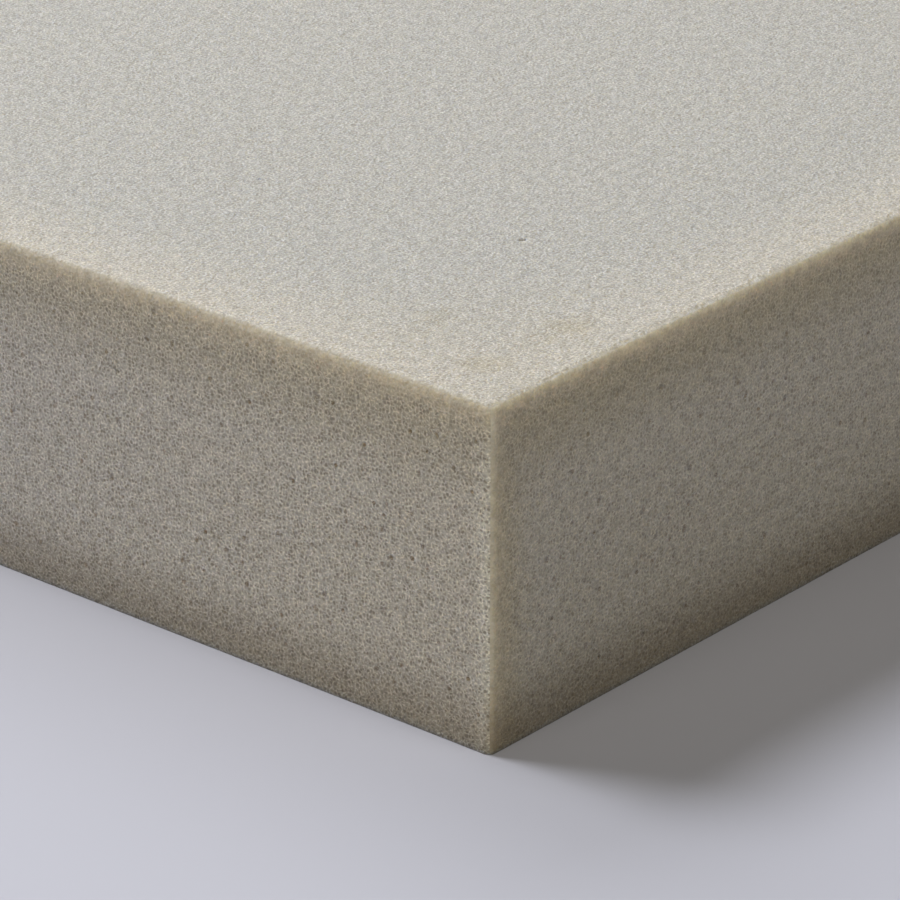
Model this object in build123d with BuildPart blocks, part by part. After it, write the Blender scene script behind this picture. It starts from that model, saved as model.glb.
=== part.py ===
"""Foam block: one sawn rectangular pad of open-cell foam, lying on its largest face.

Millimetres. The origin is at the middle of the lower face, +X runs along the length,
+Y along the width and +Z up through the thickness.
"""

import os

from build123d import *

# Driving dimensions
LENGTH = 200.0  # along X
WIDTH = 150.0  # along Y
THICKNESS = 40.0  # along Z, from the face it lies on to the top face
CORNER_RADIUS = 0.8  # the four upright edges, slightly rubbed
ARRIS_RADIUS = 0.5  # the sawn edges round the top and the lower face

# Foam block: the cut outline, drawn up to the thickness, with its arrises softened
with BuildPart() as foam_block:
    with BuildSketch(Plane.XY):
        Rectangle(LENGTH, WIDTH)
    extrude(amount=THICKNESS)
    upright_edges = foam_block.edges().filter_by(Axis.Z)
    fillet(upright_edges, radius=CORNER_RADIUS)
    level_faces = foam_block.faces().filter_by(Axis.Z)
    fillet(level_faces.edges(), radius=ARRIS_RADIUS)

foam_block.part.label = "foam_block"

os.makedirs("parts", exist_ok=True)
export_step(foam_block.part, "parts/foam_block.step")
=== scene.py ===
"""Foam block: a sawn block of open-cell foam, shown on a pale studio floor.

Metres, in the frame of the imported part: the block lies on its lower face at z = 0,
+X runs along its length, +Y along its width and +Z up.
"""

from math import cos, pi, radians, sin

import bmesh
import bpy
import numpy as np
from bpy.props import FloatProperty, FloatVectorProperty, IntProperty, PointerProperty
from mathutils import Matrix, Vector


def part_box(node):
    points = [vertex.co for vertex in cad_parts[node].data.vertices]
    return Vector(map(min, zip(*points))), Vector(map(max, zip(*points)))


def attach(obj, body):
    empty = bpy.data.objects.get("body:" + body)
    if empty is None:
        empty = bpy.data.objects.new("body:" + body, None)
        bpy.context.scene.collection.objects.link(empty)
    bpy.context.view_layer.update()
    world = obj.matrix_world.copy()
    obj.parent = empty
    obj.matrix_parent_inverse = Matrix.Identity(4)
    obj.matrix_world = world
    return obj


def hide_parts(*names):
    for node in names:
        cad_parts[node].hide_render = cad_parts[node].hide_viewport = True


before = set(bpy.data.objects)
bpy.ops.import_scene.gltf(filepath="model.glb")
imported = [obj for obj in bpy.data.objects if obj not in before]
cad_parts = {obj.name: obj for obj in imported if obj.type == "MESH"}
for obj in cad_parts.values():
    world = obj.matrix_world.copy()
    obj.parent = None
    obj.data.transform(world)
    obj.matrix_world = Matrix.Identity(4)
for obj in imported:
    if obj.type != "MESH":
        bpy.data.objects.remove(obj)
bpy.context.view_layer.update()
BLOCK_LOW, BLOCK_HIGH = (Vector(corner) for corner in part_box("foam_block"))
BLOCK_SIZE = BLOCK_HIGH - BLOCK_LOW
BLOCK_MIDDLE = (BLOCK_LOW + BLOCK_HIGH) / 2
NEAR_CORNER = Vector((BLOCK_HIGH.x, BLOCK_LOW.y, BLOCK_HIGH.z))

MM = 0.001
ARRIS_STEPS = (0.25, 0.5, 0.75, 1.0)  # where a rounded arris is divided, as shares of its reach
MARKED_SIDES, SCATTERED_SIDES = 8, 6  # of the cups that cut the larger pores
FULL_DENSITY = 1e7  # of the scatter, which the spacing of the pores then thins out
LEVEL_SLOPE = 0.7  # a face that points up or down more than this is level
LEVEL_PORE_SHARE = 0.01  # of the scattered pores that stay open on the level faces
FLAT_FLOOR_CHANCE = 0.72  # above which a pore is wide and gets a flat floor
CUP_MOUTH, CUP_HEIGHT = 1.15, 1.3  # radius and height of a cup, which reaches out of its face
LEAN_SEED, WIDTH_SEED, STRETCH_SEED, CLOSED_SEED = 3, 11, 19, 23

# Fine cells: least and greatest width, and the tones, contrast and depth that they show; their pits
# are painted shade
CELL_WIDTHS = (0.2, 0.5)
# The wall tones are partly grain and partly painted highlight and shade of the relief of the cells
WALL_TONES, PATCH_TONES = (0.885, 1.36), (1.09, 0.91)
WALL_ROUGHNESS = (0.8, 0.4)
# On the long sides, the ends and the level faces
CELL_CONTRAST, CELL_DEPTH = (1.0, 0.72, 0.9), (1.0, 0.72, 0.45)
# The band is partly painted glow of light through the edges and partly a warmer tint of the foam
BAND_STRENGTH, BAND_START = (0.7, 1.0, 1.0), (0.3, 1.0, 1.0)
# The darkening at the foot is painted shade
FOOT_SHADE_STRENGTH = (0.83, 1.0, 0.0)

FLOOR_RADIUS = 4.0
LAMP_DISTANCE = 2.0
FILM_WIDTH = 36  # millimetres

# The larger pores that can be told apart: place from the near top corner, and width, in millimetres
MARKED_PORES = (
    ((-2.0, 0, -4.4), 0.65), ((-2.5, 0, -10.2), 0.6), ((-3.0, 0, -31.9), 0.7),
    ((-1.6, 0, -35.6), 0.6), ((-5.6, 0, -33.9), 0.65), ((-8.6, 0, -7.4), 0.6),
    ((-10.7, 0, -20.3), 0.7), ((-10.9, 0, -5.8), 0.7), ((-12.3, 0, -33.3), 0.6),
    ((-13.6, 0, -21.1), 0.65), ((-14.6, 0, -16.5), 0.6), ((-16.0, 0, -15.5), 0.6),
    ((-17.3, 0, -9.2), 0.65), ((-20.5, 0, -29.4), 0.6), ((-21.3, 0, -12.7), 0.65),
    ((-21.6, 0, -5.6), 0.65), ((-27.4, 0, -16.3), 0.65), ((-33.5, 0, -8.9), 0.65),
    ((-40.4, 0, -26.2), 0.7),
    ((0, 10.1, -27.6), 0.6), ((0, 15.1, -5.3), 0.6), ((0, 15.8, -8.3), 0.7),
    ((0, 17.0, -20.1), 0.6), ((0, 18.1, -35.1), 0.6), ((0, 24.4, -27.4), 0.65),
    ((-27.0, 37.4, 0), 1.0),
)

# Faint stains of the top: place from the near top corner and width, in millimetres, and strength
STAINS = (
    ((-7.5, 22.0), 8.5, 1.0), ((-7.2, 17.5), 6.0, 0.75), ((-7.1, 14.0), 6.0, 0.45),
    ((-7.6, 8.6), 8.5, 0.9), ((-19.7, 15.0), 9.5, 0.55), ((-18.0, 10.5), 8.0, 0.4),
    ((-9.0, 10.0), 52.0, 0.15),
)

bl_info = {
    "name": "Foam Block",
    "version": (1, 0, 0),
    "blender": (4, 5, 0),
    "location": "3D View > Sidebar > Foam",
    "description": "Builds a sawn block of open-cell foam and the studio that shows it",
    "category": "Add Mesh",
}


# Settings

class FoamShape(bpy.types.PropertyGroup):
    """Sizes of the sawn block and of its larger open pores."""

    size: FloatVectorProperty(
        name="Size", description="Length, width and thickness of the block",
        default=BLOCK_SIZE, subtype="XYZ_LENGTH", unit="LENGTH")
    end_inset: FloatProperty(
        name="End Inset", description="How far the rounded edges reach in from the two ends",
        default=1.0 * MM, unit="LENGTH")
    side_inset: FloatProperty(
        name="Side Inset", description="How far the rounded edges reach in from the two long sides",
        default=0.7 * MM, unit="LENGTH")
    end_roll: FloatProperty(
        name="End Roll", description="How far down the top edges of the two ends are rounded",
        default=0.7 * MM, unit="LENGTH")
    side_roll: FloatProperty(
        name="Side Roll",
        description="How far down the top edges of the two long sides are rounded",
        default=1.5 * MM, unit="LENGTH")
    lower_roll: FloatProperty(
        name="Lower Roll", description="How far up the edges on the bench are rounded",
        default=0.03 * MM, unit="LENGTH")
    patch_size: FloatProperty(
        name="Patch Size", description="Side of the patches that the flat faces are divided into",
        default=5 * MM, unit="LENGTH")
    pore_spacing: FloatProperty(
        name="Pore Spacing", description="Least distance between the middles of two larger pores",
        default=2.3 * MM, unit="LENGTH")
    pore_narrow: FloatProperty(
        name="Narrow Pore", description="Width of the narrowest of the larger pores",
        default=0.35 * MM, unit="LENGTH")
    pore_wide: FloatProperty(
        name="Wide Pore", description="Width of the widest of the larger pores",
        default=0.75 * MM, unit="LENGTH")
    wave_height: FloatProperty(
        name="Wave Height", description="How far the saw wandered between its two sides",
        default=0.15 * MM, unit="LENGTH")
    wave_length: FloatProperty(
        name="Wave Length", description="Length of the waves that the saw left",
        default=18 * MM, unit="LENGTH")
    seed: IntProperty(
        name="Seed", description="Fixes where the pores are", default=7)


class FoamFinish(bpy.types.PropertyGroup):
    """Colours and cell sizes of the foam."""

    side_color: FloatVectorProperty(
        name="Side Colour", description="Colour of the cut cell walls on the four sides",
        default=(0.566, 0.52, 0.426), subtype="COLOR", min=0, max=1)
    middle_color: FloatVectorProperty(
        name="Middle Colour",
        description="Colour of the cut cell walls in the middle of the long sides",
        default=(0.535, 0.503, 0.446), subtype="COLOR", min=0, max=1)
    level_color: FloatVectorProperty(
        name="Level Colour",
        description="Colour of the cut cell walls on the top and the underside",
        default=(0.436, 0.418, 0.364), subtype="COLOR", min=0, max=1)
    # The band colours are partly painted glow of light through the edges and partly a warmer tint
    # of the foam
    band_color: FloatVectorProperty(
        name="Band Colour", description="Warm tint of the sides below the top edges",
        default=(0.535, 0.467, 0.32), subtype="COLOR", min=0, max=1)
    level_band_color: FloatVectorProperty(
        name="Level Band Colour",
        description="Pale tint of the top and the underside beside their edges",
        default=(0.508, 0.468, 0.386), subtype="COLOR", min=0, max=1)
    # Painted highlight along the arrises
    arris_color: FloatVectorProperty(
        name="Arris Colour", description="Pale tint of the foam right at its edges",
        default=(0.70, 0.66, 0.55), subtype="COLOR", min=0, max=1)
    # Painted shade inside the fine cells
    pit_color: FloatVectorProperty(
        name="Pit Colour", description="Colour inside the fine cells",
        default=(0.20, 0.165, 0.115), subtype="COLOR", min=0, max=1)
    pore_color: FloatVectorProperty(
        name="Pore Colour", description="Colour of the walls of the larger pores",
        default=(0.44, 0.39, 0.325), subtype="COLOR", min=0, max=1)
    # Painted shade: the pore walls of the top and underside are darker and cooler
    level_pore_color: FloatVectorProperty(
        name="Level Pore Colour",
        description="Colour of the pore walls in the top and the underside",
        default=(0.335, 0.345, 0.365), subtype="COLOR", min=0, max=1)
    # Painted shade at the foot of the sides, in a brown tone
    foot_shade_color: FloatVectorProperty(
        name="Foot Shade Colour", description="Brown tint that the bench left on the lower edge",
        default=(0.58, 0.54, 0.475), subtype="COLOR", min=0, max=1)
    stain_color: FloatVectorProperty(
        name="Stain Colour", description="Tint of the faint stains of the top",
        default=(0.90, 0.87, 0.785), subtype="COLOR", min=0, max=1)
    cell_spacing: FloatProperty(
        name="Cell Spacing", description="Distance between the middles of the fine cells",
        default=0.51 * MM, unit="LENGTH")
    band_width: FloatProperty(
        name="Band Width", description="Width of the warm band along the edges",
        default=14 * MM, unit="LENGTH")
    arris_width: FloatProperty(
        name="Arris Width", description="Width of the pale strip at the edges",
        default=3.2 * MM, unit="LENGTH")
    # Height of the painted shade at the foot of the sides
    foot_shade_height: FloatProperty(
        name="Foot Shade Height", description="How far the lower edge is soiled by the bench",
        default=10 * MM, unit="LENGTH")
    glow: FloatVectorProperty(
        name="Glow", description="How far red, green and blue light travels in the foam",
        default=(4.2 * MM, 3.5 * MM, 2.3 * MM), subtype="XYZ_LENGTH", unit="LENGTH")


class StudioSetup(bpy.types.PropertyGroup):
    """Floor, light and camera."""

    floor_color: FloatVectorProperty(
        name="Floor Colour", description="Colour of the pale floor",
        default=(0.515, 0.515, 0.555), subtype="COLOR", min=0, max=1)
    key_color: FloatVectorProperty(
        name="Key Colour", description="Colour of the large soft lamp",
        default=(0.91, 0.93, 1.0), subtype="COLOR", min=0, max=1)
    key_power: FloatProperty(
        name="Key Power", description="Power of the large soft lamp",
        default=29.0, subtype="POWER")
    back_power: FloatProperty(
        name="Back Power", description="Power of the weak lamp behind the block",
        default=24.0, subtype="POWER")
    fill_power: FloatProperty(
        name="Fill Power", description="Power of the weak lamp in front of the long side",
        default=7.0, subtype="POWER")
    side_power: FloatProperty(
        name="Side Power", description="Power of the weak lamp above the right end",
        default=8.3, subtype="POWER")
    room_color: FloatVectorProperty(
        name="Room Colour", description="Colour of the light from all round",
        default=(1.0, 0.965, 0.89), subtype="COLOR", min=0, max=1)
    room_strength: FloatProperty(
        name="Room Strength", description="Strength of the light from all round",
        default=0.09)
    azimuth: FloatProperty(
        name="Azimuth", description="Turn of the camera about the block",
        default=radians(40.476), subtype="ANGLE")
    elevation: FloatProperty(
        name="Elevation", description="Height angle of the camera",
        default=radians(24.064), subtype="ANGLE")
    distance: FloatProperty(
        name="Distance", description="From the camera to the near top corner, along the view",
        default=0.5389, unit="LENGTH")
    lens: FloatProperty(
        name="Lens", description="Focal length of the camera in millimetres", default=211.55)
    aim_right: FloatProperty(
        name="Aim Right", description="How far right of the near corner the camera points",
        default=-4.18 * MM, unit="LENGTH")
    aim_up: FloatProperty(
        name="Aim Up", description="How far above the near corner the camera points",
        default=-4.35 * MM, unit="LENGTH")


# Node helpers

def add_node(tree, kind, inputs=None, **settings):
    """Add a node, change its settings, and then set or link its inputs."""
    node = tree.nodes.new(kind)
    for name, value in settings.items():
        setattr(node, name, value)
    for key, value in (inputs or {}).items():
        if isinstance(value, bpy.types.NodeSocket):
            tree.links.new(value, node.inputs[key])
        else:
            node.inputs[key].default_value = value
    return node


def math(tree, operation, *values):
    """A Math node's result."""
    return add_node(tree, "ShaderNodeMath", dict(enumerate(values)), operation=operation).outputs[0]


def vector_math(tree, operation, *values):
    """A Vector Math node's vector."""
    node = add_node(tree, "ShaderNodeVectorMath", dict(enumerate(values)), operation=operation)
    return node.outputs["Vector"]


def scaled(tree, vector, factor):
    """A vector made longer or shorter by one factor."""
    inputs = {"Vector": vector, "Scale": factor}
    return add_node(tree, "ShaderNodeVectorMath", inputs, operation="SCALE").outputs["Vector"]


def either(tree, choice, first, second):
    """The first value where choice is 0, and the second where it is 1."""
    inputs = {"Value": choice, "To Min": first, "To Max": second}
    return add_node(tree, "ShaderNodeMapRange", inputs).outputs["Result"]


def by_face(tree, face, on_long_side, on_end, on_level):
    """One of three values: that of the long sides, of the ends, or of the level faces."""
    return either(tree, face["Level"], either(tree, face["End"], on_long_side, on_end), on_level)


def ramp(tree, value, low, high, low_result, high_result):
    """A value carried smoothly from one range to another."""
    inputs = {
        "Value": value, "From Min": low, "From Max": high,
        "To Min": low_result, "To Max": high_result}
    node = add_node(tree, "ShaderNodeMapRange", inputs, interpolation_type="SMOOTHSTEP")
    return node.outputs["Result"]


def mixed(tree, factor, first, second, blend_type="MIX"):
    """Two colours mixed."""
    node = add_node(tree, "ShaderNodeMix", data_type="RGBA", blend_type=blend_type)
    sockets = {"Factor_Float": factor, "A_Color": first, "B_Color": second}
    for socket in node.inputs:
        value = sockets.get(socket.identifier)
        if isinstance(value, bpy.types.NodeSocket):
            tree.links.new(value, socket)
        elif value is not None:
            socket.default_value = value
    return next(socket for socket in node.outputs if socket.identifier == "Result_Color")


def arris_distance(tree, depth):
    """How far a point of the surface is from the nearest arris, from its depths below the faces."""
    x, y, z = add_node(tree, "ShaderNodeSeparateXYZ", {"Vector": depth}).outputs
    nearer = math(tree, "MINIMUM", x, y)
    further = math(tree, "MAXIMUM", x, y)
    return math(tree, "MAXIMUM", nearer, math(tree, "MINIMUM", further, z))


def put_out(group, sources):
    """Give a shader node group an output for each named value."""
    for name, source in sources.items():
        kind = "NodeSocketVector" if source.type == "VECTOR" else "NodeSocketFloat"
        group.interface.new_socket(name, in_out="OUTPUT", socket_type=kind)
    result = group.nodes.new("NodeGroupOutput").inputs
    for name, source in sources.items():
        group.links.new(source, result[name])


def opaque(color):
    """A colour with full alpha, as a node's socket takes it."""
    return (*color, 1.0)


# Sawn block

def sawn_block(shape, cut_face):
    """The block as sawn: six flat faces, divided into patches, with rounded arrises."""
    size = Vector(shape.size)
    low_reach = Vector((shape.end_inset, shape.side_inset, shape.lower_roll))
    high_reach = Vector((shape.end_inset, shape.side_inset, shape.end_roll))
    form = bmesh.new()
    placed = Matrix.Translation(BLOCK_MIDDLE) @ Matrix.Diagonal((*size, 1))
    bmesh.ops.create_cube(form, size=1, matrix=placed)
    for axis in range(3):
        normal = Vector([float(axis == other) for other in range(3)])
        count = round(size[axis] / shape.patch_size)
        cuts = [size[axis] * cut / count for cut in range(1, count)]
        for share in ARRIS_STEPS:
            cuts += [low_reach[axis] * share, size[axis] - high_reach[axis] * share]
            if axis == 2:
                cuts.append(size.z - shape.side_roll * share)
        for cut in cuts:
            everything = form.verts[:] + form.edges[:] + form.faces[:]
            bmesh.ops.bisect_plane(
                form, geom=everything, plane_co=BLOCK_LOW + normal * cut, plane_no=normal)
    # Each point beyond the flat part of a face is drawn in, onto the rounded arris
    for corner in form.verts:
        core, out = Vector(), Vector()
        for axis in range(3):
            if axis == 2:
                high_reach.z = shape.side_roll + (shape.end_roll - shape.side_roll) * abs(out.x)
            low, high = BLOCK_LOW[axis] + low_reach[axis], BLOCK_HIGH[axis] - high_reach[axis]
            core[axis] = min(max(corner.co[axis], low), high)
            reach = low_reach if corner.co[axis] < low else high_reach
            out[axis] = (corner.co[axis] - core[axis]) / reach[axis]
        out.normalize()
        for axis in range(3):
            reach = low_reach if out[axis] < 0 else high_reach
            corner.co[axis] = core[axis] + out[axis] * reach[axis]
    mesh = bpy.data.meshes.new("foam_block")
    mesh.materials.append(cut_face)
    form.to_mesh(mesh)
    form.free()
    return mesh


# Larger open pores

def pore_cell(tree, sides, floor_radius):
    """A cup of about unit radius and depth that cuts one pore."""
    cone = add_node(tree, "GeometryNodeMeshCone", {
        "Vertices": sides, "Radius Top": CUP_MOUTH, "Radius Bottom": floor_radius,
        "Depth": CUP_HEIGHT})
    sunk = add_node(tree, "GeometryNodeTransform", {
        "Geometry": cone.outputs["Mesh"], "Translation": (0, 0, -1)})
    return sunk.outputs["Geometry"]


def pore_direction(offset):
    """The way that the face with a marked pore points, told by the pore's zero offset."""
    if offset[0] == 0:
        return Vector((1.0, 0, 0))
    return Vector((0, -1.0, 0)) if offset[1] == 0 else Vector((0, 0, 1.0))


def marked_pores():
    """Cups that cut the larger pores that can be told apart, each into the face that it lies on."""
    form = bmesh.new()
    for offset, width in MARKED_PORES:
        outward = pore_direction(offset)
        radius, depth = width * MM / 2, width * MM
        # A pore in the top has steeper walls, and each cup reaches a little out of its face
        floor_share, mouth_share = 0.8 if outward.z > 0 else 0.45, 1.1
        middle = NEAR_CORNER + Vector(offset) * MM - outward * depth * 0.2
        turned = outward.to_track_quat("Z", "Y").to_matrix().to_4x4()
        bmesh.ops.create_cone(
            form, cap_ends=True, segments=MARKED_SIDES, radius1=radius * floor_share,
            radius2=radius * mouth_share, depth=depth, matrix=Matrix.Translation(middle) @ turned)
    mesh = bpy.data.meshes.new("marked_pores")
    form.to_mesh(mesh)
    form.free()
    return mesh


def random_value(tree, low, high, seed, kind="FLOAT"):
    """A random value for each pore."""
    node = add_node(tree, "FunctionNodeRandomValue", {"Seed": seed}, data_type=kind)
    ends = [socket for socket in node.inputs if socket.enabled and socket.name in ("Min", "Max")]
    for socket, value in zip(ends, (low, high)):
        if isinstance(value, bpy.types.NodeSocket):
            tree.links.new(value, socket)
        else:
            socket.default_value = value
    return next(socket for socket in node.outputs if socket.enabled)


def pore_tree():
    """Geometry nodes that cut the larger open pores into the sawn block."""
    tree = bpy.data.node_groups.new("open_pores", "GeometryNodeTree")
    sockets = (
        ("Block", "Geometry"), ("Pore Spacing", "Float"), ("Narrow Pore", "Float"),
        ("Wide Pore", "Float"), ("Wave Height", "Float"), ("Wave Length", "Float"),
        ("Half Size", "Vector"), ("Middle", "Vector"), ("Seed", "Int"), ("Marked Pores", "Object"),
        ("Cut Face", "Material"), ("Pore Wall", "Material"),
    )
    for name, kind in sockets:
        tree.interface.new_socket(name, in_out="INPUT", socket_type=f"NodeSocket{kind}")
    tree.interface.new_socket("Foam", in_out="OUTPUT", socket_type="NodeSocketGeometry")
    given = tree.nodes.new("NodeGroupInput").outputs
    result = tree.nodes.new("NodeGroupOutput").inputs

    place = add_node(tree, "GeometryNodeInputPosition").outputs[0]
    from_middle = vector_math(tree, "SUBTRACT", place, given["Middle"])

    # Where the pores are: over all faces, but not at the arrises or on the marked pores
    scatter = add_node(tree, "GeometryNodeDistributePointsOnFaces", {
        "Mesh": given["Block"], "Distance Min": given["Pore Spacing"],
        "Density Max": FULL_DENSITY, "Seed": given["Seed"]}, distribute_method="POISSON")
    reach = vector_math(tree, "ABSOLUTE", from_middle)
    depth = vector_math(tree, "SUBTRACT", given["Half Size"], reach)
    at_arris = math(tree, "LESS_THAN", arris_distance(tree, depth), given["Pore Spacing"])
    marked = add_node(tree, "GeometryNodeObjectInfo", {
        "Object": given["Marked Pores"]}).outputs["Geometry"]
    apart = add_node(tree, "GeometryNodeProximity", {"Geometry": marked}).outputs["Distance"]
    too_near = math(tree, "LESS_THAN", apart, given["Wide Pore"])
    left_out = math(tree, "MAXIMUM", at_arris, too_near)
    # The level faces are cut across the rise of the foam and keep few open pores
    normal = scatter.outputs["Normal"]
    facing = add_node(tree, "ShaderNodeSeparateXYZ", {"Vector": normal}).outputs["Z"]
    is_level = math(tree, "GREATER_THAN", math(tree, "ABSOLUTE", facing), LEVEL_SLOPE)
    drawn = math(tree, "GREATER_THAN", random_value(tree, 0.0, 1.0, CLOSED_SEED), LEVEL_PORE_SHARE)
    left_out = math(tree, "MAXIMUM", left_out, math(tree, "MULTIPLY", is_level, drawn))
    spread = add_node(tree, "GeometryNodeDeleteGeometry", {
        "Geometry": scatter.outputs["Points"], "Selection": left_out})
    lean = random_value(tree, (-0.3, -0.3, -pi), (0.3, 0.3, pi), LEAN_SEED, "FLOAT_VECTOR")
    turned = add_node(tree, "FunctionNodeRotateRotation", {
        "Rotation": scatter.outputs["Rotation"], "Rotate By": lean}, rotation_space="LOCAL")

    # Most pores are narrow and pointed. The widest have a flat floor, which is linked first and
    # so has the higher index
    chance = random_value(tree, 0.0, 1.0, WIDTH_SEED)
    widening = math(tree, "POWER", chance, 2.5)
    width = add_node(tree, "ShaderNodeMapRange", {
        "Value": widening, "To Min": given["Narrow Pore"], "To Max": given["Wide Pore"]})
    radius = math(tree, "MULTIPLY", width.outputs["Result"], 0.5)
    stretch = random_value(
        tree, (0.8, 0.8, 0.35), (1.2, 1.2, 0.7), STRETCH_SEED, "FLOAT_VECTOR")
    cells = add_node(tree, "GeometryNodeGeometryToInstance")
    for floor_radius in (0.5, 0.0):
        tree.links.new(pore_cell(tree, SCATTERED_SIDES, floor_radius), cells.inputs[0])
    is_wide = math(tree, "GREATER_THAN", chance, FLAT_FLOOR_CHANCE)
    placed = add_node(tree, "GeometryNodeInstanceOnPoints", {
        "Points": spread.outputs[0], "Instance": cells.outputs[0], "Pick Instance": True,
        "Instance Index": is_wide, "Rotation": turned.outputs[0],
        "Scale": scaled(tree, stretch, radius)})
    joined = add_node(tree, "GeometryNodeJoinGeometry")
    tree.links.new(placed.outputs[0], joined.inputs[0])
    tree.links.new(marked, joined.inputs[0])
    cutters = add_node(tree, "GeometryNodeRealizeInstances", {"Geometry": joined.outputs[0]})
    named = add_node(tree, "GeometryNodeStoreNamedAttribute", {
        "Geometry": cutters.outputs[0], "Name": "pore", "Value": True},
        data_type="BOOLEAN", domain="FACE")
    cut = add_node(tree, "GeometryNodeMeshBoolean", {
        "Mesh 1": given["Block"], "Mesh 2": named.outputs[0]},
        operation="DIFFERENCE", solver="MANIFOLD")
    flat = add_node(tree, "GeometryNodeTriangulate", {"Mesh": cut.outputs["Mesh"]})

    # The saw wandered a little to either side, and the underside lies flat
    noise = add_node(tree, "ShaderNodeTexNoise", {
        "Vector": place, "Scale": math(tree, "DIVIDE", 1.0, given["Wave Length"]), "Detail": 2.0})
    share = vector_math(tree, "DIVIDE", from_middle, given["Half Size"])
    share = vector_math(tree, "MAXIMUM", share, (-1.0, -1.0, 0.0))
    swing = vector_math(tree, "SUBTRACT", noise.outputs["Color"], (0.5, 0.5, 0.5))
    wander = vector_math(tree, "MULTIPLY", share, swing)
    moved = add_node(tree, "GeometryNodeSetPosition", {
        "Geometry": flat.outputs[0],
        "Offset": scaled(tree, wander, given["Wave Height"])})

    whole = add_node(tree, "GeometryNodeRealizeInstances", {"Geometry": moved.outputs[0]})
    faced = add_node(tree, "GeometryNodeSetMaterial", {
        "Geometry": whole.outputs[0], "Material": given["Cut Face"]})
    in_pore = add_node(
        tree, "GeometryNodeInputNamedAttribute", {"Name": "pore"}, data_type="BOOLEAN")
    walled = add_node(tree, "GeometryNodeSetMaterial", {
        "Geometry": faced.outputs[0], "Material": given["Pore Wall"],
        "Selection": in_pore.outputs["Attribute"]})
    tree.links.new(walled.outputs[0], result["Foam"])
    return tree


def set_inputs(modifier, values):
    """Set a modifier's inputs by the names of its tree's sockets."""
    for item in modifier.node_group.interface.items_tree:
        if item.in_out == "INPUT" and item.name in values:
            modifier[item.identifier] = values[item.name]


def baked(holder):
    """The holder's evaluated mesh, as a plain mesh."""
    shown = holder.evaluated_get(bpy.context.evaluated_depsgraph_get())
    return bpy.data.meshes.new_from_object(shown)


def lay_out_map(mesh):
    """Lay the six faces side by side on one map, so that each pore stays with its face."""
    length, width, thickness = BLOCK_SIZE
    gap = 2 * MM
    side = 2 * width + thickness + 4 * gap
    beside = length + 2 * gap
    above = 2 * (width + gap) + gap
    # Per face: the axes along the map, the axis across the face, whether it lies on the high
    # side, and its corner on the map
    layout = (
        ((0, 1), 2, True, (gap, gap)),
        ((0, 1), 2, False, (gap, width + 2 * gap)),
        ((0, 2), 1, False, (gap, above)),
        ((2, 0), 1, True, (beside, gap)),
        ((2, 1), 0, True, (beside + thickness + gap, gap)),
        ((2, 1), 0, False, (beside + 2 * (thickness + gap), gap)),
    )
    places = np.empty(len(mesh.vertices) * 3, np.float32)
    mesh.vertices.foreach_get("co", places)
    places = places.reshape(-1, 3) - np.array(BLOCK_LOW, np.float32)
    corners = np.empty(len(mesh.loops), np.int32)
    mesh.loops.foreach_get("vertex_index", corners)
    starts = np.empty(len(mesh.polygons), np.int32)
    mesh.polygons.foreach_get("loop_start", starts)
    counts = np.empty(len(mesh.polygons), np.int32)
    mesh.polygons.foreach_get("loop_total", counts)
    middles = np.add.reduceat(places[corners], starts) / counts[:, None]
    size = np.array(BLOCK_SIZE)
    depths = np.stack([
        size[normal] - middles[:, normal] if high else middles[:, normal]
        for _, normal, high, _ in layout])
    nearest = np.repeat(depths.argmin(axis=0), counts)
    spots = np.empty((len(corners), 2), np.float32)
    for face, (axes, _, _, corner) in enumerate(layout):
        own = nearest == face
        spots[own] = (places[corners[own]][:, axes] + np.array(corner)) / side
    mesh.uv_layers.new(name="OFBake").uv.foreach_set("vector", spots.ravel())


# Materials

def depth_below_faces(group):
    """How far a point lies below the nearest X, Y and Z face of the block."""
    place = add_node(group, "ShaderNodeTexCoord").outputs["Object"]
    from_middle = vector_math(group, "SUBTRACT", place, tuple(BLOCK_MIDDLE))
    reach = vector_math(group, "ABSOLUTE", from_middle)
    return vector_math(group, "SUBTRACT", tuple(BLOCK_SIZE / 2), reach)


def face_plane_group():
    """Shader nodes for a point's place in the plane of the face that it belongs to."""
    group = bpy.data.node_groups.new("face_plane", "ShaderNodeTree")
    place = add_node(group, "ShaderNodeTexCoord").outputs["Object"]
    x, y, z = add_node(group, "ShaderNodeSeparateXYZ", {"Vector": place}).outputs
    depth = depth_below_faces(group)
    depth_x, depth_y, depth_z = add_node(group, "ShaderNodeSeparateXYZ", {"Vector": depth}).outputs
    on_end = math(group, "LESS_THAN", depth_x, math(group, "MINIMUM", depth_y, depth_z))
    on_top = math(group, "LESS_THAN", depth_z, math(group, "MINIMUM", depth_x, depth_y))
    across = either(group, on_end, x, y)
    along = either(group, on_top, z, y)
    flat = add_node(group, "ShaderNodeCombineXYZ", {"X": across, "Y": along}).outputs["Vector"]
    put_out(group, {"Place": flat, "Level": on_top, "End": on_end})
    return group


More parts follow.
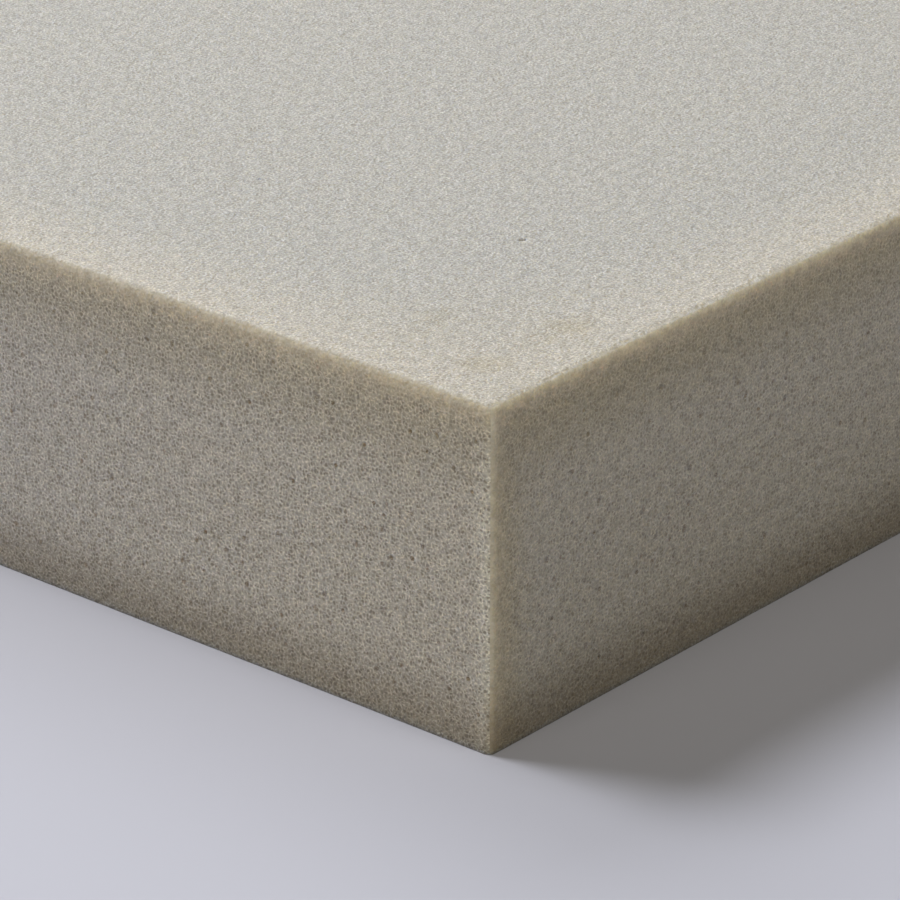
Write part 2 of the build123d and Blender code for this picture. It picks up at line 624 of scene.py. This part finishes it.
def cell_group(face_plane):
    """Shader nodes for the fine open cells: masks of their pits and walls, and a height."""
    group = bpy.data.node_groups.new("fine_cells", "ShaderNodeTree")
    group.interface.new_socket("Cell Spacing", in_out="INPUT", socket_type="NodeSocketFloat")
    given = group.nodes.new("NodeGroupInput").outputs

    flat = add_node(group, "ShaderNodeGroup", node_tree=face_plane).outputs
    in_cells = scaled(group, flat["Place"], math(group, "DIVIDE", 1.0, given["Cell Spacing"]))
    wobble = add_node(group, "ShaderNodeTexNoise", {
        "Vector": in_cells, "Scale": 0.4, "Detail": 2.0, "Roughness": 0.6}, noise_dimensions="2D")
    shifted = vector_math(group, "SUBTRACT", wobble.outputs["Color"], (0.5, 0.5, 0.5))
    uneven = vector_math(group, "ADD", in_cells, scaled(group, shifted, 1.2))
    cell = add_node(group, "ShaderNodeTexVoronoi", {
        "Vector": uneven, "Scale": 1.0, "Randomness": 0.95}, voronoi_dimensions="2D").outputs
    border = add_node(group, "ShaderNodeTexVoronoi", {
        "Vector": uneven, "Scale": 1.0, "Randomness": 0.95},
        voronoi_dimensions="2D", feature="DISTANCE_TO_EDGE").outputs
    chance = add_node(group, "ShaderNodeSeparateColor", {"Color": cell["Color"]}).outputs
    mottle = ramp(group, wobble.outputs["Fac"], 0.25, 0.75, 0.0, 1.0)
    width = ramp(group, chance[0], 0.0, 1.0, *CELL_WIDTHS)
    width = math(group, "MULTIPLY", width, either(group, mottle, 0.8, 1.2))
    share = math(group, "DIVIDE", cell["Distance"], width)
    # The ends show the painted light and shade of their cells less, as on an end in shade, and so
    # do the level faces, cut across the rise of the foam
    contrast = by_face(group, flat, *CELL_CONTRAST)
    deepest = by_face(group, flat, *CELL_DEPTH)
    depth = math(group, "MULTIPLY", ramp(group, chance[1], 0.0, 1.0, 0.35, 1.0), deepest)
    pits = math(group, "MULTIPLY", ramp(group, share, 0.35, 1.15, 1.0, 0.0), depth)
    grain = add_node(group, "ShaderNodeTexNoise", {
        "Vector": in_cells, "Scale": 1.7, "Detail": 1.0, "Roughness": 0.6}, noise_dimensions="2D")
    ridge = ramp(group, border["Distance"], 0.0, 0.26, 1.0, 0.0)
    walls = math(group, "MULTIPLY", ridge, ramp(group, grain.outputs["Fac"], 0.3, 0.7, 0.0, 1.0))
    relief = add_node(group, "ShaderNodeTexNoise", {
        "Vector": in_cells, "Scale": 1.0, "Detail": 1.0, "Roughness": 0.6}, noise_dimensions="2D")
    put_out(group, {
        "Pits": pits, "Walls": walls, "Height": relief.outputs["Fac"], "Mottle": mottle,
        "Contrast": contrast, "Level": flat["Level"], "End": flat["End"]})
    return group


def arris_group(face_plane):
    """Shader nodes for what changes towards the arrises: distances, and shares of painted
    highlight, painted shade, and the band of tint and painted glow.
    """
    group = bpy.data.node_groups.new("arris_distance", "ShaderNodeTree")
    place = add_node(group, "ShaderNodeTexCoord").outputs["Object"]
    above = vector_math(group, "SUBTRACT", place, tuple(BLOCK_LOW))
    height = add_node(group, "ShaderNodeSeparateXYZ", {"Vector": above}).outputs["Z"]
    x, y, _ = add_node(group, "ShaderNodeSeparateXYZ", {"Vector": depth_below_faces(group)}).outputs
    below_top = math(group, "SUBTRACT", BLOCK_SIZE.z, height)
    depth = add_node(group, "ShaderNodeCombineXYZ", {"X": x, "Y": y, "Z": below_top})
    distance = arris_distance(group, depth.outputs["Vector"])
    face = add_node(group, "ShaderNodeGroup", node_tree=face_plane).outputs
    # The band along the edges is partly painted glow of light through the foam and partly a warmer
    # tint of it. It lies below the top on the sides, also along the upright edges of the ends, and
    # all round on the level faces, where the bands of two edges add up at a corner
    on_end = math(group, "MINIMUM", below_top, math(group, "MULTIPLY", y, 1.75))
    on_level = math(group, "DIVIDE", math(group, "MULTIPLY", x, y), math(group, "ADD", x, y))
    tinted = by_face(group, face, below_top, on_end, on_level)
    # The painted highlight is narrower on the level faces, and the painted pit shade of the long
    # sides stays up to their upright edges
    narrow = math(group, "MULTIPLY", distance, 3.0)
    near = either(group, face["Level"], distance, narrow)
    pit_fade = by_face(group, face, below_top, distance, narrow)
    # The painted highlight is strongest at the top of the ends, and on the long sides along their
    # upright edges
    reach = BLOCK_SIZE.z / 5
    end_highlight = ramp(group, below_top, 0.0, reach, 0.6, 0.3)
    long_highlight = ramp(group, below_top, 0.0, reach, 0.0, 0.85)
    level_highlight = math(group, "MULTIPLY", math(group, "LESS_THAN", x, y), 0.35)
    arris_highlight = by_face(group, face, long_highlight, end_highlight, level_highlight)
    # Painted shade: a strip below all the top edges is a little darker, and so are the long top
    # edges themselves
    strip = ramp(group, below_top, BLOCK_SIZE.z / 20, BLOCK_SIZE.z / 9, 1.0, 0.925)
    strip = ramp(group, below_top, BLOCK_SIZE.z / 7, BLOCK_SIZE.z / 3, strip, 1.0)
    shade_reach, edge_shade = BLOCK_SIZE.z / 16, 0.88
    long_shade = ramp(group, below_top, 0.0, shade_reach, edge_shade, 1.0)
    long_shade = math(group, "MULTIPLY", long_shade, strip)
    level_shade = ramp(group, y, 0.0, shade_reach / 2, edge_shade, 1.0)
    shade = by_face(group, face, long_shade, strip, level_shade)
    # The middle of the long sides is less yellow than the ends
    middle = ramp(group, x, 0.0, BLOCK_SIZE.x / 2, 0.0, 1.0)
    put_out(group, {
        "Distance": near, "Band Distance": tinted, "Pit Fade Distance": pit_fade, "Arris Highlight": arris_highlight,
        "Shade": shade, "Middle": middle, "Height": height})
    return group


def stain_group():
    """Shader nodes for how strongly a point of the top is stained."""
    group = bpy.data.node_groups.new("stains", "ShaderNodeTree")
    place = add_node(group, "ShaderNodeTexCoord").outputs["Object"]
    ragged = add_node(group, "ShaderNodeTexNoise", {"Vector": place, "Scale": 300.0, "Detail": 2.0})
    shifted = vector_math(group, "SUBTRACT", ragged.outputs["Color"], (0.5, 0.5, 0.5))
    uneven = vector_math(group, "ADD", place, scaled(group, shifted, 5 * MM))
    stain = 0.0
    for (x, y), width, strength in STAINS:
        middle = NEAR_CORNER + Vector((x, y, 0)) * MM
        apart = add_node(group, "ShaderNodeVectorMath", {
            0: uneven, 1: tuple(middle)}, operation="DISTANCE")
        reach = width * MM / 2
        spot = ramp(group, apart.outputs["Value"], reach / 5, reach, strength, 0.0)
        stain = math(group, "MAXIMUM", stain, spot)
    put_out(group, {"Stain": stain})
    return group


def foam_material(name, finish, groups, colors, cell_scale, pit_strength, bump_height):
    """Foam with fine cells of one scale: used for the cut faces and for the pore walls."""
    material = bpy.data.materials.new(name)
    material.use_nodes = True
    tree = material.node_tree
    tree.nodes.clear()
    cells, arris, stains = groups
    side_color, middle_color, level_color = (opaque(color) for color in colors)
    fine_cells = add_node(tree, "ShaderNodeGroup", node_tree=cells)
    fine_cells.inputs["Cell Spacing"].default_value = finish.cell_spacing * cell_scale
    fine = fine_cells.outputs
    edge = add_node(tree, "ShaderNodeGroup", node_tree=arris).outputs

    # The band along the edges, partly painted glow and partly a warmer tint, is weaker on the long
    # sides, where it begins a little lower
    strongest = by_face(tree, fine, *BAND_STRENGTH)
    in_band = ramp(tree, edge["Band Distance"], 0.0, finish.band_width, strongest, 0.0)
    first = by_face(tree, fine, *BAND_START)
    begun = ramp(tree, edge["Band Distance"], 0.0, finish.arris_width / 2, first, 1.0)
    in_band = math(tree, "MULTIPLY", in_band, begun)
    face = mixed(tree, edge["Middle"], side_color, middle_color)
    face = mixed(tree, fine["Level"], face, level_color)
    tint = mixed(
        tree, fine["Level"], opaque(finish.band_color), opaque(finish.level_band_color))
    banded = mixed(tree, in_band, face, tint)
    # Painted highlight along the arrises, in the arris colour
    at_arris = ramp(tree, edge["Distance"], 0.0, finish.arris_width, edge["Arris Highlight"], 0.0)
    tinted = mixed(tree, at_arris, banded, opaque(finish.arris_color))

    # The walls are paler and darker from place to place, partly grain and partly painted highlight
    # and shade of their relief, and the painted shade of the pits fades out along the arrises
    # The painted pit shade fades out along the arrises
    shown = ramp(tree, edge["Pit Fade Distance"], 0.0, finish.arris_width, 0.15, 1.0)
    speckle = ramp(tree, fine["Walls"], 0.0, 1.0, *WALL_TONES)
    speckle = either(tree, math(tree, "MULTIPLY", fine["Contrast"], shown), 1.0, speckle)
    patchy = ramp(tree, fine["Mottle"], 0.0, 1.0, *PATCH_TONES)
    uneven = math(tree, "MULTIPLY", speckle, patchy)
    # The painted shade below the top edges darkens the walls
    walls = scaled(tree, tinted, math(tree, "MULTIPLY", uneven, edge["Shade"]))
    # The pits are painted shade: the colour darkens towards the pit colour inside the fine cells
    open_share = math(tree, "MULTIPLY", shown, pit_strength)
    pitted = math(tree, "MULTIPLY", fine["Pits"], open_share)
    open_cells = mixed(tree, pitted, walls, opaque(finish.pit_color))

    # The sides are darker towards the foot, which is painted shade, and the top has a few stains
    darkest_at_foot = by_face(tree, fine, *FOOT_SHADE_STRENGTH)
    shaded = ramp(tree, edge["Height"], 0.0, finish.foot_shade_height, darkest_at_foot, 0.0)
    color = mixed(tree, shaded, open_cells, opaque(finish.foot_shade_color), "MULTIPLY")
    stained = add_node(tree, "ShaderNodeGroup", node_tree=stains).outputs["Stain"]
    color = mixed(tree, stained, color, opaque(finish.stain_color), "MULTIPLY")

    bump = add_node(tree, "ShaderNodeBump", {
        "Height": fine["Height"], "Distance": bump_height, "Strength": 1.0})
    rough = ramp(tree, fine["Walls"], 0.0, 1.0, *WALL_ROUGHNESS)
    surface = add_node(tree, "ShaderNodeBsdfPrincipled", {
        "Base Color": color, "Roughness": rough, "Normal": bump.outputs["Normal"],
        "Specular IOR Level": 0.5, "Subsurface Weight": 0.95, "Subsurface Scale": 1.0,
        "Subsurface Radius": finish.glow})
    output = add_node(tree, "ShaderNodeOutputMaterial")
    tree.links.new(surface.outputs["BSDF"], output.inputs["Surface"])
    return material


def floor_material(color):
    """Plain pale paper."""
    material = bpy.data.materials.new("pale_floor")
    material.use_nodes = True
    tree = material.node_tree
    surface = tree.nodes["Principled BSDF"]
    surface.inputs["Base Color"].default_value = opaque(color)
    surface.inputs["Roughness"].default_value = 0.75
    surface.inputs["Specular IOR Level"].default_value = 0.2
    return material


# Operators

class FOAM_OT_add_block(bpy.types.Operator):
    """Saw the foam block and cut its open pores"""

    bl_idname = "foam.add_block"
    bl_label = "Add Foam Block"
    bl_options = {"REGISTER", "UNDO"}

    def execute(self, context):
        shape = context.scene.foam_shape
        finish = context.scene.foam_finish
        face_plane = face_plane_group()
        groups = cell_group(face_plane), arris_group(face_plane), stain_group()
        cut_face = foam_material(
            "foam_cut_face", finish, groups,
            (finish.side_color, finish.middle_color, finish.level_color),
            cell_scale=1.0, pit_strength=0.7, bump_height=0.4 * MM)
        # The pore walls of the level faces take the darker, cooler colour of painted shade
        pore_wall = foam_material(
            "foam_pore_wall", finish, groups,
            (finish.pore_color, finish.pore_color, finish.level_pore_color),
            cell_scale=0.6, pit_strength=0.5, bump_height=0.08 * MM)

        holder = bpy.data.objects.new("sawn_block", sawn_block(shape, cut_face))
        context.collection.objects.link(holder)
        cups = bpy.data.objects.new("marked_pores", marked_pores())
        context.collection.objects.link(cups)
        modifier = holder.modifiers.new("Open Pores", "NODES")
        modifier.node_group = pore_tree()
        set_inputs(modifier, {
            "Pore Spacing": shape.pore_spacing,
            "Narrow Pore": shape.pore_narrow,
            "Wide Pore": shape.pore_wide,
            "Wave Height": shape.wave_height,
            "Wave Length": shape.wave_length,
            "Half Size": Vector(shape.size) / 2,
            "Middle": BLOCK_MIDDLE,
            "Seed": shape.seed,
            "Marked Pores": cups,
            "Cut Face": cut_face,
            "Pore Wall": pore_wall,
        })
        mesh = baked(holder)
        mesh.name = "foam_block_open_cells"
        lay_out_map(mesh)
        bpy.data.objects.remove(holder)
        bpy.data.objects.remove(cups)
        block = bpy.data.objects.new("foam_block_open_cells", mesh)
        context.collection.objects.link(block)
        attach(block, "root")
        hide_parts("foam_block")
        return {"FINISHED"}


class FOAM_OT_set_stage(bpy.types.Operator):
    """Set out the floor, the lamps and the camera"""

    bl_idname = "foam.set_stage"
    bl_label = "Set Stage"
    bl_options = {"REGISTER", "UNDO"}

    def execute(self, context):
        setup = context.scene.foam_studio
        context.scene.view_settings.view_transform = "Standard"
        self.add_floor(context, setup)
        self.add_room(context, setup)
        # Name, direction from the block, width, power and colour
        lamps = (
            ("key_lamp", (-1.48, -0.39, 2.3), 0.75, setup.key_power, setup.key_color),
            ("back_lamp", (-0.9, 0.48, 0.9), 1.45, setup.back_power, setup.key_color),
            ("fill_lamp", (0.1, -0.9, 0.25), 1.3, setup.fill_power, setup.room_color),
            ("side_lamp", (0.55, -0.1, 0.85), 1.3, setup.side_power, setup.room_color),
        )
        for lamp in lamps:
            self.add_lamp(context, *lamp)
        self.add_camera(context, setup)
        return {"FINISHED"}

    def add_floor(self, context, setup):
        """A wide round floor under the block."""
        form = bmesh.new()
        bmesh.ops.create_circle(form, cap_ends=True, radius=FLOOR_RADIUS, segments=96)
        mesh = bpy.data.meshes.new("floor")
        form.to_mesh(mesh)
        form.free()
        mesh.materials.append(floor_material(setup.floor_color))
        floor = bpy.data.objects.new("floor", mesh)
        context.collection.objects.link(floor)

    def add_room(self, context, setup):
        """Even light from all round, with a pale backdrop where it is seen."""
        world = bpy.data.worlds.new("studio")
        world.use_nodes = True
        context.scene.world = world
        tree = world.node_tree
        tree.nodes.clear()
        path = add_node(tree, "ShaderNodeLightPath").outputs
        seen = math(tree, "MAXIMUM", path["Is Camera Ray"], path["Is Glossy Ray"])
        seen = math(tree, "MAXIMUM", seen, path["Is Transmission Ray"])
        light = add_node(tree, "ShaderNodeBackground", {
            "Color": opaque(setup.room_color), "Strength": setup.room_strength})
        backdrop = add_node(tree, "ShaderNodeBackground", {
            "Color": opaque(setup.floor_color), "Strength": 1.0})
        shown = add_node(tree, "ShaderNodeMixShader", {
            0: seen, 1: light.outputs[0], 2: backdrop.outputs[0]})
        output = add_node(tree, "ShaderNodeOutputWorld")
        tree.links.new(shown.outputs[0], output.inputs["Surface"])

    def add_lamp(self, context, name, way, size, power, color):
        """A round soft lamp, some way off in the given direction, that faces the block."""
        toward = Vector(way).normalized()
        lamp = bpy.data.lights.new(name, "AREA")
        lamp.shape = "DISK"
        lamp.size = size
        lamp.energy = power
        lamp.color = color
        holder = bpy.data.objects.new(name, lamp)
        holder.location = BLOCK_MIDDLE + toward * LAMP_DISTANCE
        holder.rotation_euler = toward.to_track_quat("Z", "Y").to_euler()
        context.collection.objects.link(holder)

    def add_camera(self, context, setup):
        """The camera, low over the near corner."""
        turn, rise = setup.azimuth, setup.elevation
        back = Vector((sin(turn) * cos(rise), -cos(turn) * cos(rise), sin(rise)))
        right = Vector((cos(turn), sin(turn), 0))
        up = back.cross(right)
        aim = NEAR_CORNER + right * setup.aim_right + up * setup.aim_up
        lens = bpy.data.cameras.new("camera")
        lens.sensor_width = FILM_WIDTH
        lens.lens = setup.lens
        lens.clip_start = 0.01
        camera = bpy.data.objects.new("camera", lens)
        camera.location = aim + back * setup.distance
        camera.rotation_euler = Matrix((right, up, back)).transposed().to_euler()
        context.collection.objects.link(camera)
        context.scene.camera = camera


class FOAM_PT_panel(bpy.types.Panel):
    """Sizes, finish and stage of the foam block"""

    bl_label = "Foam Block"
    bl_idname = "FOAM_PT_panel"
    bl_space_type = "VIEW_3D"
    bl_region_type = "UI"
    bl_category = "Foam"

    def draw(self, context):
        groups = (
            (context.scene.foam_shape, FOAM_OT_add_block.bl_idname),
            (context.scene.foam_finish, None),
            (context.scene.foam_studio, FOAM_OT_set_stage.bl_idname),
        )
        for settings, operator in groups:
            box = self.layout.box()
            for name in settings.__annotations__:
                box.prop(settings, name)
            if operator:
                box.operator(operator)


CLASSES = (FoamShape, FoamFinish, StudioSetup, FOAM_OT_add_block, FOAM_OT_set_stage, FOAM_PT_panel)


def register():
    for made in CLASSES:
        bpy.utils.register_class(made)
    bpy.types.Scene.foam_shape = PointerProperty(type=FoamShape)
    bpy.types.Scene.foam_finish = PointerProperty(type=FoamFinish)
    bpy.types.Scene.foam_studio = PointerProperty(type=StudioSetup)


def unregister():
    del bpy.types.Scene.foam_studio
    del bpy.types.Scene.foam_finish
    del bpy.types.Scene.foam_shape
    for made in reversed(CLASSES):
        bpy.utils.unregister_class(made)


def main():
    register()
    bpy.ops.foam.add_block()
    bpy.ops.foam.set_stage()


if __name__ == "__main__":
    main()
